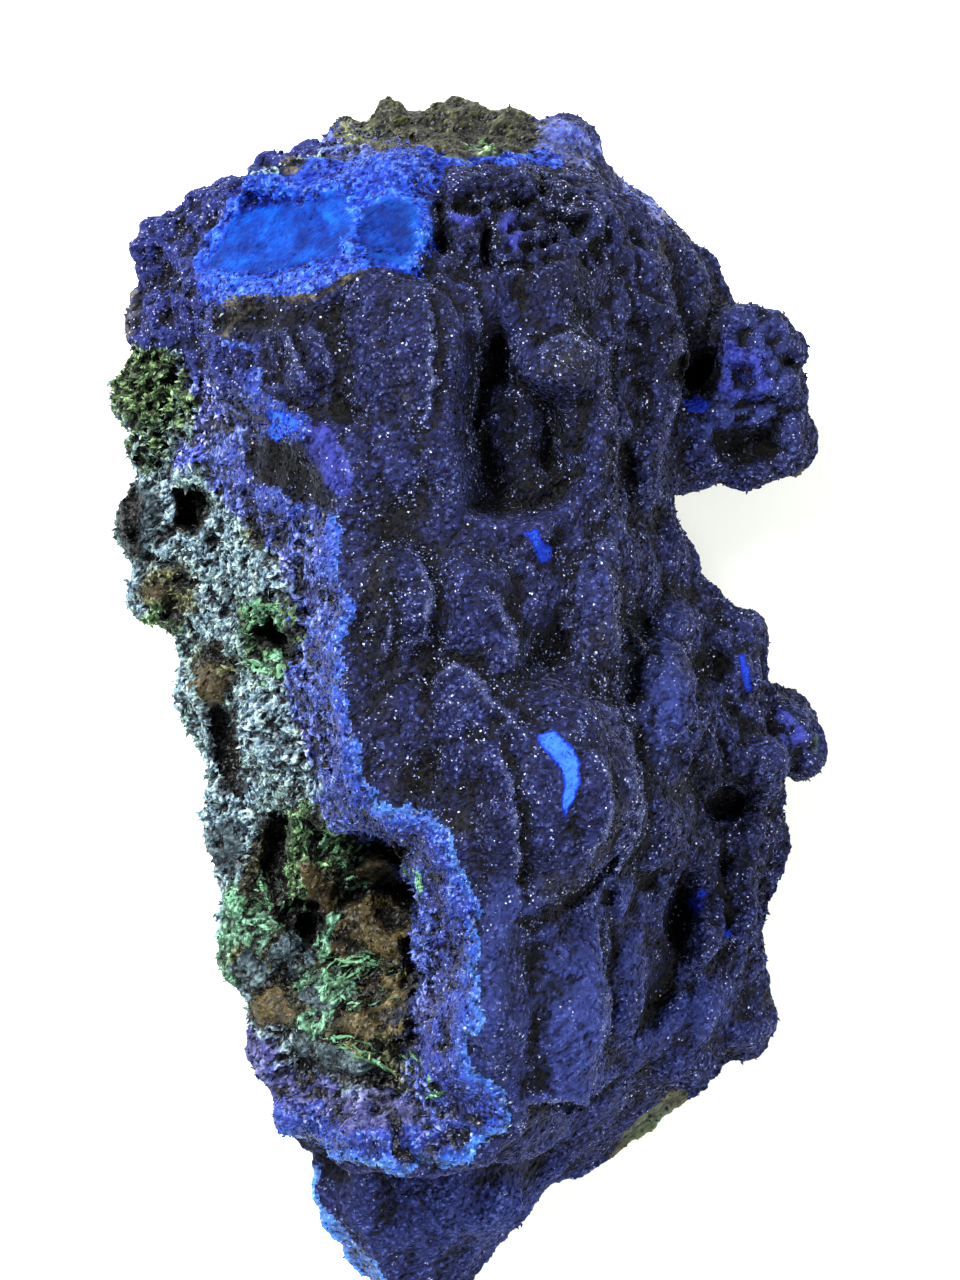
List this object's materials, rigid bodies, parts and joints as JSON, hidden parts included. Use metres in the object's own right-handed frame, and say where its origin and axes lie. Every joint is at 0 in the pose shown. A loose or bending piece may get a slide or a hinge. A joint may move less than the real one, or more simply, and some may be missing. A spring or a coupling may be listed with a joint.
{
  "type": "azurite specimen",
  "caption": "Hand-sized azurite specimen lying on its back: dark blue botryoidal crust on one slope, broken granular blue and green rock on the other.",
  "frame": {"origin": "centre of the bounding box in plan, at the flat back that the specimen rests on", "axes": "+Y along its length, towards the end with the matrix, +Z away from the resting face, +X across, towards the slope with the botryoidal crust"},
  "size_m": [0.0632, 0.106, 0.0418],
  "materials": {
    "azurite": "velvety botryoidal crust of tiny crystals, brighter blue where it is broken",
    "malachite": "spongy and fibrous green growths on the broken side",
    "matrix": "iron-stained rock behind the crust"
  },
  "bodies": {
    "root": {"azurite_specimen": "azurite"}
  },
  "joints": []
}
